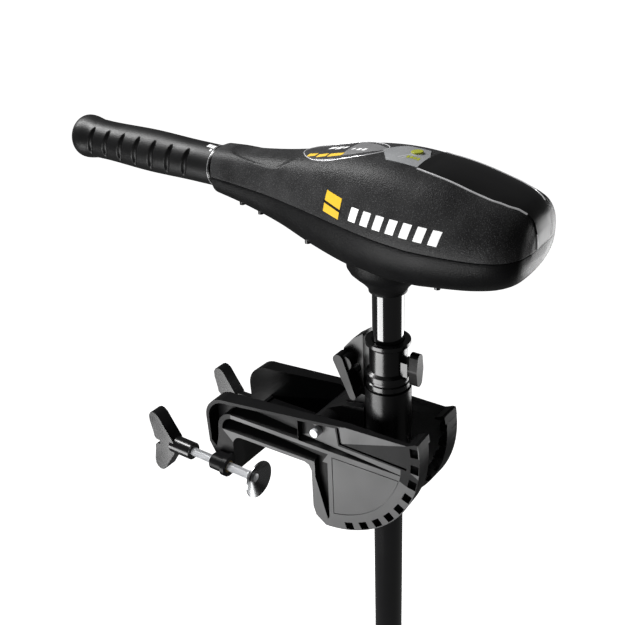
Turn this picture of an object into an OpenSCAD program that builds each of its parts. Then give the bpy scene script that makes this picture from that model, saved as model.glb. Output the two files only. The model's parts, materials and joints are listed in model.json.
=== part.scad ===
// Transom-mount electric trolling motor: clamp bracket, tilt hub, depth collar,
// control head with telescoping twist grip, hollow shaft and submerged motor.
// Frame: x = 0 is the face that bears on the transom, z = 0 the top of the transom,
// y = 0 the middle plane. The boat is towards -x, the water side towards +x.

/* [Shaft] */
// Outside diameter of the hollow shaft
shaft_d = 28.6; // [26:0.1:28.6]
// Wall thickness of the hollow shaft
shaft_wall = 3.2; // [2:0.1:4]
// Length of the hollow shaft
shaft_len = 762; // [650:1:900]
// Distance from the transom face to the shaft axis
shaft_x = 63; // [62:0.5:64]

/* [Transom bracket] */
// Distance from the middle plane to the outer face of a side plate at its rear edge
plate_half = 37; // [36.5:0.5:40]
// Outward splay of each side plate towards the front, in degrees
splay = 2.2; // [2:0.1:2.4]
// Radius of the round rear edge about the tilt pivot
rim_r = 110.5; // [110:0.5:112]
// Number of tilt positions in the rack
notch_count = 9; // [6:1:9]
// Angle between two tilt positions
notch_pitch = 9.7; // [9:0.1:9.7]
// Diameter of the tilt pivot pin
pivot_d = 9; // [8:0.5:10]
// Distance from the middle plane to each clamp screw
clamp_y = 54; // [53:0.5:55]
// Width of a wing knob from tip to tip
wing_span = 76; // [70:1:84]
// Diameter of a clamp pad
pad_d = 39.5; // [34:0.5:42]

/* [Control head] */
// Wall thickness of the moulded covers
cover_wall = 2.6; // [2:0.1:3.2]
// Upward slope of the twist grip away from the head, in degrees
grip_rise = 2.2; // [1:0.1:3]
// Length of the twist grip
grip_len = 193; // [185:1:205]
// Outside diameter of the telescoping tiller tube
tube_d = 24; // [22:0.5:24]

/* [Motor] */
// Diameter of the submerged motor housing
pod_d = 82.5; // [80:0.5:86]
// Diameter of the propeller
prop_d = 235; // [220:1:250]

/* [Hidden] */

$fn = 64;
gap = 0.3;                       // clearance between neighbouring loose pieces
pivot = [6.5, 39.5];             // tilt pivot, x and z
notch_r = 105.6;                 // radius of the notch row about the pivot
first_notch = -70.3;             // angle of the lowest notch
rear_x = 118;                    // where a side plate's outer face is plate_half from the middle
clamp_z = -35;                   // height of the clamp screws
screw_r = 4.7;
insert_r = screw_r + 0.08;
shaft_r = shaft_d / 2;
shaft_top = 240;
shaft_bottom = shaft_top - shaft_len;
hub_top = 90.5;
collar_bottom = hub_top + gap;
collar_top = 139;
rod_x = pivot[0] + notch_r * cos(first_notch);
pin_r = 3.5;
pin_z = -49;                     // lock pin, held just clear of the notches
lever_x = 27;
lever_z = 111;
handle = [-112, 0, 272.8];       // where the grip axis leaves the head
pod_r = pod_d / 2;
pod_z = shaft_bottom - 38;
rotor_r = 6;
black = [0.05, 0.05, 0.055];
grey = [0.35, 0.35, 0.36];
steel = [0.75, 0.76, 0.78];
brass_c = [0.78, 0.62, 0.3];

// ---------- general shapes ----------

// Points of an arc in a plane, angles in degrees
function arc(c, r, a0, a1, steps) =
    [for (k = [0:steps]) let (a = a0 + (a1 - a0) * k / steps) [c[0] + r * cos(a), c[1] + r * sin(a)]];

// A flat outline in x and z, given thickness along y from y0 to y1
module slab(y0, y1) { translate([0, y1, 0]) rotate([90, 0, 0]) linear_extrude(y1 - y0) children(); }

// A cylinder along x from x0 to x1
module rod_x(x0, x1, r) { translate([x0, 0, 0]) rotate([0, 90, 0]) cylinder(h = x1 - x0, r = r); }

// A cylinder along y, centred on y = 0
module rod_y(len, r) { rotate([90, 0, 0]) cylinder(h = len, r = r, center = true); }

// A ring along x from x0 to x1
module ring_x(x0, x1, r0, r1) {
    translate([x0, 0, 0]) rotate([0, 90, 0]) difference() {
        cylinder(h = x1 - x0, r = r1);
        translate([0, 0, -1]) cylinder(h = x1 - x0 + 2, r = r0);
    }
}

// A profile of [x, radius] points turned about the x axis
module turned_x(points) { rotate([0, 90, 0]) rotate_extrude() polygon([for (p = points) [p[1], p[0]]]); }

// A piece made for the near side (-y), also used mirrored for the far side
module on_side(side) { if (side < 0) children(); else mirror([0, 1, 0]) children(); }

// ---------- transom bracket ----------
// A side plate is drawn with its outer face on y = 0 and +y pointing inwards.

function plate_thick(x) = 4 + (rear_x - x) * 0.06;
web = 3.6;

module in_plate_place(side) {
    on_side(side) translate([rear_x, -plate_half, 0]) rotate([0, 0, splay])
        translate([-rear_x, 0, 0]) children();
}

side_outline = concat(
    arc(pivot, rim_r, -86, 12, 40),
    [[112, 62.5], [104, 58.5], [40, 56.5], [-12, 50], [-104, 40]],
    arc([-105, 14], 26, 90, 180, 10),
    [[-130, -18], [-122, -34], [-119, -46], [-98, -46], [-98, -12]],
    arc([-86, -12], 12, 180, 90, 6),
    [[-8, 0], [-3, -2], [0, -8], [0, -52], [3, -62]]);

// Space outside the sloping web, from the outer face down to the web
module outside_web(raise = 0) {
    translate([0, 0, -100]) linear_extrude(200)
        polygon([[-140, -5], [140, -5], [rear_x - 8, 0],
            [-140, plate_thick(-140) - web - raise]]);
}

// Sloping ledge: all that lies above a plane rising inwards from height z
module above_ledge(z) {
    translate([-150, 0, 0]) rotate([90, 0, 90]) linear_extrude(300)
        polygon([[-6, z - 3], [0, z], [25, z + 16], [25, 100], [-6, 100]]);
}

module pockets() {
    // upper channel, front part
    intersection() {
        slab(-5, 30) polygon([[-14, 24], [-98, 25], [-100, 37], [-14, 46.6]]);
        outside_web();
        above_ledge(24);
    }
    // channel round the front end
    intersection() {
        slab(-5, 30) polygon(concat([[-97, 36.8]], arc([-104, 13], 23.5, 90, 180, 8),
            [[-127, -16], [-121, -22], [-117, -8]], arc([-95, 5.5], 20.5, 180, 95, 8)));
        outside_web();
    }
    // upper channel, pivot part and the taper towards the rack
    intersection() {
        slab(-5, 30) polygon([[-13.9, 23.5], [98, 22], [98, 30.5], [32, 33], [29, 52], [-13.9, 46.6]]);
        outside_web(2.5);
        above_ledge(23);
    }
    // lower channel over the hook and down the transom leg
    intersection() {
        slab(-5, 30) polygon(concat([[20, 19]], arc([-95, 5], 15.5, 90, 180, 8),
            [[-111, -7], [-102, -9]], arc([-90, -5.4], 9, 170, 90, 6), [[-8, 3.6], [3.6, -8]]));
        outside_web();
        above_ledge(4);
    }
    intersection() {
        slab(-5, 30) polygon([[4, 8], [19, 8], [19, -58], [17, -62], [4, -14]]);
        outside_web();
    }
}

// The nine windows over the rack, each open inwards behind the face
module notch_windows() {
    for (k = [0:notch_count - 1])
        translate([pivot[0], 0, pivot[1]]) rotate([0, -(first_notch + k * notch_pitch), 0]) {
            translate([notch_r - 4, -2, -4.75]) cube([8, 30, 9.5]);
            translate([notch_r - 9, 4.4, -4.75]) cube([6, 30, 9.5]);
        }
}

module d_outline(inset) {
    intersection() {
        translate(pivot) circle(93 - inset, $fn = 96);
        translate([24 + inset, -60]) square([90, 77 - inset]);
    }
}

module side_plate() {
    difference() {
        union() {
            intersection() {
                slab(0, 30) polygon(side_outline);
                translate([0, 0, -100]) linear_extrude(200) polygon([[-140, 0], [125, 0],
                    [125, plate_thick(125)], [-140, plate_thick(-140)]]);
            }
            // rack ring and the wide rear rim
            slab(0, 14) difference() {
                polygon(concat(arc(pivot, rim_r, -84, 12, 40), arc(pivot, 99.6, 12, -84, 40)));
                polygon([[0, 59], [130, 59], [130, 90], [0, 90]]);
            }
            slab(0, 19) difference() {
                polygon(concat(arc(pivot, rim_r, -86, 12, 40), arc(pivot, 106.6, 12, -86, 40)));
                polygon([[0, 62.5], [130, 62.5], [130, 90], [0, 90]]);
            }
            slab(0, 21.8) polygon([[105, 54.5], [116.3, 54.5], [115, 62.4], [112, 62.4], [105, 58.9]]);
        }
        pockets();
        notch_windows();
        // shallow grooves round the D-shaped panel and beside the upper panel
        slab(-1, 0.7) difference() { d_outline(0); d_outline(0.9); }
        slab(-1, 2.2) polygon([[30.5, 54], [33, 35], [104, 31.4], [104, 34], [36, 37], [33.5, 54]]);
    }
}

module bracket() {
    color(black) difference() {
        union() {
            for (side = [-1, 1]) {
                in_plate_place(side) side_plate();
                // screw boss, set outside the leg
                on_side(side) translate([0, -clamp_y, clamp_z]) difference() {
                    union() {
                        rod_x(-119, -98, 9);
                        translate([-117, 0, -8.5]) cube([16, 13, 17]);
                        rod_x(-103, -98, 11);
                        translate([-103, 0, -11]) cube([5, 14, 22]);
                    }
                    rod_x(-130, -90, 6.5);
                }
            }
            // front wall, deck that rests on the transom and the bearing wall
            translate([-104, -40, -50]) cube([4, 80, 56]);
            translate([-104, -34, 0]) cube([106, 68, 4]);
            translate([0, -30, -50]) cube([4, 60, 54]);
            translate([1, -35, -50]) cube([3, 70, 54]);
        }
        translate([pivot[0], 0, pivot[1]]) rod_y(120, pivot_d / 2 + 0.05);
        translate([pivot[0], -48, pivot[1]]) rod_y(19, pivot_d / 2 + 1.2);
    }
}

module screw_inserts() {
    color(brass_c) for (s = [-1, 1]) translate([0, s * clamp_y, clamp_z])
        ring_x(-118.5, -98.5, insert_r, 6.5);
}

module pivot_pin() {
    color(steel) translate([pivot[0], 0.9, pivot[1]]) rod_y(90.2, pivot_d / 2);
}

module pivot_nut() {
    color(steel) translate([pivot[0], 43.8, pivot[1]]) rotate([90, 0, 0]) difference() {
        cylinder(h = 4, r = 7, center = true, $fn = 6);
        cylinder(h = 6, r = pivot_d / 2, center = true);
    }
}

// ---------- tilt hub ----------

module tilt_hub() {
    color(grey) difference() {
        union() {
            translate([shaft_x, 0, -20]) cylinder(h = hub_top + 20, r = 21.8);
            translate([pivot[0], 0, pivot[1]]) rod_y(60, 13);
            // arms to the pivot and the flared top web
            slab(-16, 16) polygon([[6, 26.6], [46, 6], [46, 67], [22, 62], [3, 52]]);
            slab(-8.5, 8.5) polygon([[18, 58], [46, 62], [46, 86], [36, 84]]);
            // tail that carries the lock pin
            slab(-13, 13) polygon([[34, -6], [34, -42], [38, -56], [47.4, -56], [47.4, -6]]);
            // lug for the tilt lever
            slab(-8, 8) polygon([[24, 68], [17.5, 108], [20, 121], [30, 133], [41, 141], [41, 74]]);
        }
        translate([shaft_x, 0, -40]) cylinder(h = 140, r = 16.5);
        translate([pivot[0], 0, pivot[1]]) rod_y(70, pivot_d / 2 + 0.05);
        translate([rod_x, 0, -70]) cylinder(h = 154, r = 2.6);
        translate([rod_x, 0, 0]) slab(-20, 20) polygon([[-3.9, -58], [3.9, -58], [3.9, -38], [-3.9, -38]]);
        translate([lever_x, 0, lever_z]) rod_y(30, 3.05);
        translate([34.5, 0, 104]) rod_y(30, 4.5);
        translate([34, -9, 76]) cube([12.4, 18, 8]);
    }
}

module hub_bushings() {
    color([0.85, 0.85, 0.82]) for (z = [-20, 62]) translate([shaft_x, 0, z]) difference() {
        cylinder(h = 26, r = 16.5);
        translate([0, 0, -1]) cylinder(h = 28, r = shaft_r + 0.08);
    }
}

// Lever beside the lug: a slim rounded bar leaning back towards the shaft
module tilt_lever() {
    color(black) difference() {
        union() {
            slab(-21, -9.6) hull() {
                translate([21.5, 114]) circle(5.5, $fn = 32);
                translate([36.5, 79]) circle(3.6, $fn = 32);
            }
            translate([lever_x, -13.8, lever_z]) rod_y(9.4, 7.5);
        }
        translate([lever_x, -3.1, lever_z]) rod_y(30.2, 3.05);
    }
}

module lever_pin() {
    color(steel) {
        translate([lever_x, -1, lever_z]) rod_y(34, 3);
        translate([lever_x, 15.2, lever_z]) rod_y(2.2, 5.2);
    }
}

module lever_spring() {
    color(steel) translate([lever_x, 11.1, lever_z]) rotate([90, 0, 0]) difference() {
        cylinder(h = 5.6, r = 5, center = true);
        cylinder(h = 7, r = 3.3, center = true);
    }
}

module lock_rod() {
    color(steel) {
        translate([rod_x, 0, pin_z]) cylinder(h = 76 - pin_z, r = 2.5);
        translate([rod_x, 0, pin_z]) rod_y(61.6, pin_r);
    }
}

// ---------- depth collar ----------

module depth_collar() {
    color(black) translate([shaft_x, 0, 0]) difference() {
        union() {
            rotate_extrude() polygon([[15, collar_bottom], [20, collar_bottom], [20.6, 92.5],
                [20.6, 97], [19.4, 98], [19.4, 100], [20.4, 101], [20.4, 106], [17.4, 108.5],
                [17.4, 132], [20.8, 135.5], [20.8, collar_top], [15, collar_top]]);
            translate([17, -7, 108]) cube([6.7, 14, 14]);
        }
        translate([0, 0, 80]) cylinder(h = 70, r = shaft_r + 0.08);
        translate([0, 0, 115]) rod_x(10, 40, 3.4);
    }
}

module collar_screw() {
    color(steel) translate([shaft_x, 0, 115]) rod_x(shaft_r + 0.4, 31.5, 3.3);
}

// Small wing knob on the back of the collar
module collar_knob() {
    color(black) translate([shaft_x, 0, 115]) difference() {
        union() {
            ring_x(24, 25, 3.3, 6.5);
            translate([24.5, 0, 0]) rotate([90, 0, 90]) linear_extrude(8.5) hull() {
                for (s = [-1, 1]) translate([0, s * 12]) circle(4.6, $fn = 32);
                circle(6.4, $fn = 32);
            }
        }
        rod_x(20, 31.55, 3.3);
    }
}

// ---------- shaft and leads ----------

module shaft() {
    color(black) difference() {
        translate([shaft_x, 0, shaft_bottom]) cylinder(h = shaft_len, r = shaft_r);
        translate([shaft_x, 0, shaft_bottom - 1]) cylinder(h = shaft_len + 2, r = shaft_r - shaft_wall);
        translate([shaft_x, 0, 226]) rod_y(60, 2.6);
    }
}

module motor_leads() {
    color([0.6, 0.08, 0.06]) for (s = [-1, 1])
        translate([shaft_x + s * 6.3, 0, shaft_bottom - 2]) cylinder(h = shaft_len + 6, r = 2.2);
}

module head_bolt() {
    color(steel) translate([shaft_x, 0, 226]) {
        rod_y(46, 2.55);
        for (s = [-1, 1]) translate([0, s * 22.6, 0]) rod_y(4, 4.6);
    }
}

// ---------- control head ----------
// Each station of the head: [x, half width at the seam, rise above it, drop below it].

HEAD = [[-112, 23, 25, 20], [-80, 24.5, 28.5, 24.5], [-40, 28.5, 35, 32.5], [0, 36.5, 44, 43],
    [40, 45.5, 54, 49], [80, 53, 58, 48], [120, 55, 55, 43], [160, 52, 45, 37],
    [184, 46.5, 35, 30], [194, 36, 25, 20], [197, 22, 14, 9]];
crown = 2.65;                    // squareness of the upper cover's section
belly = 2.35;                    // squareness of the lower housing's section
head_steps = 20;

function seam_z(x) = 254 + 0.07 * max(0, 110 - x) + 0.0015 * pow(max(0, x - 150), 2);

// Smooth curve through column c of the stations
function slope(i, c) = let (a = max(i - 1, 0), b = min(i + 1, len(HEAD) - 1))
    (HEAD[b][c] - HEAD[a][c]) / (HEAD[b][0] - HEAD[a][0]);
function span(x, i = 0) = i >= len(HEAD) - 2 || x <= HEAD[i + 1][0] ? i : span(x, i + 1);
function head_at(x, c) = let (i = span(x), h = HEAD[i + 1][0] - HEAD[i][0], t = (x - HEAD[i][0]) / h,
    s = t * t * (3 - 2 * t))
    HEAD[i][c] * (1 - s) + HEAD[i + 1][c] * s
    + h * (slope(i, c) * t * (1 - t) * (1 - t) - slope(i + 1, c) * t * t * (1 - t));

// A point of the head's skin: up = 1 above the seam, -1 below; out moves it outwards
function skin(x, a, up, out) = let (n = up > 0 ? crown : belly, w = head_at(x, 1) + out,
    h = head_at(x, up > 0 ? 2 : 3) + out)
    [x, -w * sign(cos(a)) * pow(abs(cos(a)), 2 / n), seam_z(x) + up * (0.15 + h * pow(sin(a), 2 / n))];

STATIONS = concat([for (x = [-112:16:176]) x], [184, 190, 194, 197]);

// Half shell: each section runs over the outside and back along the inside
module half_shell(up) {
    m = head_steps;
    ring = 2 * m + 2;
    n = len(STATIONS);
    inner_scale = (309 - cover_wall) / 309;
    points = [for (x = STATIONS) each concat(
        [for (k = [0:m]) skin(x, 180 * k / m, up, 0)],
        [for (k = [m:-1:0]) let (p = skin(x, 180 * k / m, up, -cover_wall))
            [-112 + (p[0] + 112) * inner_scale, p[1], p[2]]])];
    last = (n - 1) * ring;
    sides = [for (i = [0:n - 2]) for (k = [0:ring - 1]) let (a = i * ring + k,
        b = i * ring + (k + 1) % ring) each [[a, b, b + ring], [a, b + ring, a + ring]]];
    front = [for (k = [0:m - 1]) each [[k, ring - 1 - k, k + 1], [ring - 1 - k, ring - 2 - k, k + 1]]];
    outer_end = [[for (k = [0:m]) last + k]];
    inner_end = [[for (k = [m + 1:ring - 1]) last + k]];
    seam_end = [[last, last + m, last + m + 1, last + ring - 1]];
    faces = concat(sides, front, outer_end, inner_end, seam_end);
    polyhedron(points, up > 0 ? faces : [for (f = faces) [for (k = [len(f) - 1:-1:0]) f[k]]]);
}

module upper_cover() {
    color(black) difference() {
        half_shell(1);
        translate([90, 0, 300]) cylinder(h = 30, r = 5.4);
    }
}

module lower_housing() {
    color(black) union() {
        difference() {
            half_shell(-1);
            translate([shaft_x, 0, 150]) cylinder(h = 90, r = 20.5);
            translate([108, 0, 190]) cylinder(h = 40, r = 6);
            head_screw_rods(2.65);
        }
        // funnel-shaped neck with the shaft socket
        translate([shaft_x, 0, 0]) difference() {
            rotate_extrude() polygon([[shaft_r + 0.05, 187], [17, 187], [18.6, 190], [27, 199],
                [35, 209], [37, 222], [34, 222], [32, 211], [25, 203], [20.5, 198],
                [20.5, 236], [shaft_r + 0.05, 236]]);
            translate([0, 0, 226]) rod_y(60, 2.6);
        }
    }
}

// A thin plate that follows the crown of the upper cover, between x0 and x1
module crown_plate(x0, x1, half, out0, out1, steps = 10, round = 0) {
    m = 10;
    ring = 2 * m + 2;
    function reach(t) = half * (round == 0 ? 1 : sqrt(max(0.02, 1 - pow(2 * t - 1, 2))));
    function angle(x, y) = acos(pow(min(0.98, abs(y) / head_at(x, 1)), crown / 2));
    points = [for (i = [0:steps]) let (t = i / steps, x = x0 + (x1 - x0) * t) each concat(
        [for (k = [0:m]) let (y = reach(t) * (2 * k / m - 1), a = angle(x, y))
            skin(x, y < 0 ? a : 180 - a, 1, out1)],
        [for (k = [m:-1:0]) let (y = reach(t) * (2 * k / m - 1), a = angle(x, y))
            skin(x, y < 0 ? a : 180 - a, 1, out0)])];
    sides = [for (i = [0:steps - 1]) for (k = [0:ring - 1]) let (a = i * ring + k,
        b = i * ring + (k + 1) % ring) each [[a, b, b + ring], [a, b + ring, a + ring]]];
    first = [for (k = [0:m - 1]) each [[k, ring - 1 - k, k + 1], [ring - 1 - k, ring - 2 - k, k + 1]]];
    last = [for (f = first) [for (k = [2:-1:0]) f[k] + steps * ring]];
    polyhedron(points, concat(sides, first, last));
}

module top_panel() { color([0.08, 0.08, 0.08]) crown_plate(104, 192, 25, 0.4, 1.2, 14); }

module meter_lens() {
    color([0.6, 0.6, 0.6]) difference() {
        crown_plate(77, 103.4, 22, 0.4, 1.3);
        translate([90, 0, 300]) cylinder(h = 30, r = 5.4);
    }
}

module label_plate() { color(grey) crown_plate(-9, 76, 26, 0.4, 1.1, 16, 1); }

module meter_button() { color([0.7, 0.7, 0.2]) translate([90, 0, 309.4]) cylinder(h = 5.8, r = 5); }

module control_board() {
    color([0.1, 0.4, 0.2]) translate([-34, -20, 257]) {
        cube([88, 40, 1.6]);
        for (x = [10, 26, 42]) translate([x, 8, 1.6]) cylinder(h = 14, r = 5);
        for (x = [56, 68]) translate([x, 6, 1.6]) cube([8, 14, 6]);
    }
}

module heat_sink() {
    color(steel) translate([-34, -20, 246]) {
        translate([0, 0, 8]) cube([60, 40, 2.6]);
        for (k = [0:7]) translate([2 + 8 * k, 0, 0]) cube([2, 40, 8.1]);
    }
}

module head_screw_rods(r) {
    for (p = [[-84, 14, 245.4], [-62, 15, 240.4], [-4, 24, 226.6], [124, 26, 213.4]]) for (s = [-1, 1])
        translate([p[0], s * p[1], p[2]]) cylinder(h = 20, r = r);
}

module head_screws() { color(steel) head_screw_rods(2.6); }

module cable_gland() {
    color(black) translate([108, 0, 0]) rotate_extrude()
        polygon([[4, 204], [7.5, 204], [8.5, 208], [5.95, 208], [5.95, 216], [8, 217], [8, 220], [4, 220]]);
}

// ---------- tiller and grip ----------
// Drawn along +x from the head's nose, then turned to point forwards and up.

module on_handle() { translate(handle) rotate([0, grip_rise, 0]) mirror([1, 0, 0]) children(); }

module nose_bush() { color(black) on_handle() ring_x(-22, 0, tube_d / 2 + 0.08, 17); }

module tiller_tube() { color([0.2, 0.2, 0.2]) on_handle() ring_x(-38, grip_len - 8, tube_d / 2 - 2, tube_d / 2); }

module switch_rotor() {
    color([0.8, 0.8, 0.75]) on_handle() {
        rod_x(-62, -38, 13);
        rod_x(-38, -30, tube_d / 2 - 2);
    }
}

module speed_switch() {
    color([0.15, 0.15, 0.15]) on_handle() turned_x([[-66, 0], [-66, 16.5], [-40, 16.5], [-40, 13.1],
        [-62.2, 13.1], [-62.2, 0]]);
}

module grip_core() {
    color([0.15, 0.15, 0.15]) on_handle() turned_x([[6, tube_d / 2 + 0.08], [6, 15.5],
        [6 + grip_len - 4, 16.5], [6 + grip_len - 4, 0], [6 + grip_len - 7, 0],
        [6 + grip_len - 7, tube_d / 2 + 0.08]]);
}

module grip_sleeve() {
    color(black) on_handle() turned_x([[8, 15.55], [8, 19.3], [30, 19], [95, 18.6], [155, 20],
        [grip_len - 7, 22], [grip_len + 1, 21.6], [grip_len + 5, 18.5], [6 + grip_len, 14], [6 + grip_len, 0], [6 + grip_len - 3.95, 0],
        [6 + grip_len - 3.95, 16.55]]);
}

module grip_ring() { color(steel) on_handle() ring_x(5, 7.9, 15.55, 19.6); }

// ---------- clamps ----------

module clamp_screw(side) {
    color(steel) translate([0, side * clamp_y, clamp_z]) {
        rod_x(-176, -70, screw_r);
        rod_x(-70, -64.3, 3);
        rod_x(-64.3, -62.3, 4.6);
    }
}

// Wing knob: two thick wings swept away from the bracket, with a slot between them
module clamp_knob(side) {
    color(black) translate([0, side * clamp_y, clamp_z]) difference() {
        union() {
            ring_x(-177, -149, screw_r, 9.5);
            for (s = [-1, 1]) slab(-7.5, 7.5) scale([1, s]) polygon([[-171, -0.1], [-171.5, 8],
                [-181, wing_span / 2 - 16], [-189, wing_span / 2 - 3.5], [-193, wing_span / 2 - 0.6],
                [-197, wing_span / 2], [-201, wing_span / 2 - 1.8], [-203.5, wing_span / 2 - 6],
                [-203.5, wing_span / 2 - 13], [-200.5, 12], [-199.5, 5], [-196, 2], [-191, -0.1]]);
        }
        rod_x(-176, -140, screw_r);
        translate([-206, -8, -2.6]) cube([14, 16, 5.2]);
    }
}

// Dished pad, riveted loosely over the screw's reduced tip
module clamp_pad(side) {
    color(steel) translate([0, side * clamp_y, clamp_z]) turned_x([[-69.8, 3.15], [-69.8, 6.4],
        [-67.8, 7.5], [-63.4, 14], [-59.5, pad_d / 2], [-57.8, pad_d / 2], [-61.6, 14],
        [-65.6, 7.5], [-66.6, 5], [-66.6, 3.15]]);
}

module clamp_screw_near() { clamp_screw(-1); }
module clamp_knob_near() { clamp_knob(-1); }
module clamp_pad_near() { clamp_pad(-1); }
module clamp_screw_far() { clamp_screw(1); }
module clamp_knob_far() { clamp_knob(1); }
module clamp_pad_far() { clamp_pad(1); }

// ---------- submerged motor ----------

module at_pod() { translate([shaft_x, 0, pod_z]) children(); }

module front_housing() {
    color(black) at_pod() difference() {
        union() {
            difference() {
                turned_x(concat([for (a = [90:-10:0]) [-54 - 62 * sin(a), pod_r * cos(a)]],
                    [[30, pod_r], [30, pod_r - 3], [-50, pod_r - 4], [-70, 28], [-80, 0]]));
                translate([0, 0, 20]) cylinder(h = 40, r = 17);
            }
            // neck that takes the shaft
            translate([0, 0, 28]) rotate_extrude() polygon([[shaft_r + 0.05, 10], [17, 10],
                [29, 0], [31, 2], [25, 15], [20, 28], [19, 40], [shaft_r + 0.05, 40]]);
            // seat of the front bearing
            ring_x(-46, -34, 13.05, 38.4);
        }
        cylinder(h = 100, r = shaft_r + 0.05);
    }
}

module motor_tube() { color(black) at_pod() ring_x(30.1, 130, pod_r - 2.75, pod_r); }

module rear_housing() {
    color(black) at_pod() union() {
        difference() {
            turned_x([[130.1, 38], [130.1, pod_r], [145, pod_r - 1], [158, 34], [168, 25], [168, 6.4],
                [156, 6.4], [156, 11.05], [148, 11.05], [148, 13.05], [134, 13.05], [134, 38]]);
            for (s = [-1, 1]) translate([0, s * 33, 0]) {
                rod_x(120, 170, 2.3);
                rod_x(150.9, 170, 4);
            }
        }
        // skeg below the housing
        slab(-3.5, 3.5) polygon([[132, -38], [158, -33], [166, -70], [170, -112], [158, -138],
            [128, -138], [126, -100]]);
    }
}

module magnets() {
    color([0.25, 0.25, 0.27]) at_pod() for (s = [-1, 1]) intersection() {
        ring_x(36, 122, 31, pod_r - 2.8);
        scale([1, 1, s]) translate([30, -40, 15]) cube([100, 80, 40]);
    }
}

module brush_plate() {
    color([0.55, 0.4, 0.25]) at_pod() difference() {
        ring_x(-8, -4, 16, 35);
        for (s = [-1, 1]) translate([0, s * 33, 0]) rod_x(-20, 10, 2.6);
    }
}

module brushes() {
    color([0.12, 0.12, 0.12]) at_pod() for (s = [-1, 1])
        scale([1, 1, s]) translate([-3.9, -5, 14.1]) cube([9, 10, 9]);
}

module brush_springs() {
    color(steel) at_pod() for (s = [-1, 1])
        translate([0.6, 0, s * 27.2]) difference() {
            cylinder(h = 8, r = 3.4, center = true);
            cylinder(h = 10, r = 2.4, center = true);
        }
}

module front_bearing() { color(brass_c) at_pod() ring_x(-46, -34, rotor_r + 0.05, 13); }
module rear_bearing() { color(steel) at_pod() ring_x(134.2, 147.8, rotor_r + 0.05, 13); }
module shaft_seal() { color([0.1, 0.1, 0.1]) at_pod() ring_x(148.3, 155.7, rotor_r + 0.05, 11); }

module through_bolts() {
    color(steel) at_pod() for (s = [-1, 1]) translate([0, s * 33, 0]) {
        rod_x(-33.9, 151, 2.2);
        rod_x(151, 154.5, 3.6);
    }
}

module joint_rings() {
    color([0.1, 0.1, 0.1]) at_pod() for (x = [30.05, 130.05])
        translate([x, 0, 0]) rotate([0, 90, 0]) rotate_extrude() translate([37.4, 0]) circle(1, $fn = 24);
}

module armature_shaft() {
    color(steel) at_pod() difference() {
        rod_x(-52, 218, rotor_r);
        translate([173, 0, 0]) cylinder(h = 20, r = 2.2, center = true);
    }
}

module armature_core() {
    color([0.4, 0.4, 0.42]) at_pod() difference() {
        ring_x(38, 120, rotor_r, 30);
        for (k = [0:11]) rotate([30 * k, 0, 0]) translate([30, -2, 20]) cube([100, 4, 15]);
    }
}

module windings() {
    color([0.72, 0.4, 0.2]) at_pod() {
        ring_x(26, 37.9, rotor_r + 0.02, 27);
        ring_x(120.1, 130, rotor_r + 0.02, 27);
        for (k = [0:11]) rotate([30 * k, 0, 0]) translate([32, -1.7, 20.4]) cube([92, 3.4, 6]);
    }
}

module commutator() {
    color([0.8, 0.5, 0.3]) at_pod() difference() {
        ring_x(-3, 22, rotor_r, 14);
        for (k = [0:11]) rotate([30 * k, 0, 0]) translate([-4, -0.4, 12]) cube([30, 0.8, 4]);
    }
}

// ---------- propeller ----------

blade_root = 17;
blade_tip = prop_d / 2;
// Chord, pitch angle and sweep of a blade at fraction t from root to tip
function chord(t) = 34 + 40 * sin(150 * t) - 38 * pow(t, 4);
function pitch_angle(t) = 58 - 34 * t;
function sweep(t) = 14 * t * t;

// One blade section: rounded front edge, thin rear edge
function blade_ring(t) = let (r = blade_root + (blade_tip - blade_root) * t, c = chord(t),
    thick = 6.5 - 4.5 * t, a = pitch_angle(t))
    [for (k = [0:15]) let (u = 22.5 * k, s = c / 2 * cos(u) + sweep(t), h = thick / 2 * sin(u))
        [s * cos(a) - h * sin(a), s * sin(a) + h * cos(a), r]];

module blade() {
    n = 12;
    points = [for (i = [0:n]) each blade_ring(i / n)];
    sides = [for (i = [0:n - 1]) for (k = [0:15]) let (a = i * 16 + k, b = i * 16 + (k + 1) % 16)
        each [[a, b + 16, b], [a, a + 16, b + 16]]];
    polyhedron(points, concat(sides, [[for (k = [0:15]) k]], [[for (k = [15:-1:0]) n * 16 + k]]));
}

module propeller() {
    color(black) at_pod() difference() {
        union() {
            turned_x([[169, 0], [169, 24.5], [176, 25], [205, 22], [214, 19], [214, 0]]);
            for (s = [0, 180]) rotate([s, 0, 0]) translate([190, 0, 0]) blade();
        }
        rod_x(160, 230, rotor_r + 0.02);
        translate([173, 0, 0]) cylinder(h = 30, r = 2.3, center = true);
        rod_x(160, 171, 9);
    }
}

module drive_pin() {
    color(steel) at_pod() translate([173, 0, 0]) cylinder(h = 29, r = 2.2, center = true);
}

module prop_washer() { color(steel) at_pod() ring_x(214.1, 215.6, rotor_r, 12); }

module prop_nut() {
    color(steel) at_pod() difference() {
        turned_x([[215.7, 0], [215.7, 9.5], [223, 9.5], [228, 6], [228, 0]]);
        rod_x(200, 218.1, rotor_r);
    }
}

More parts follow.
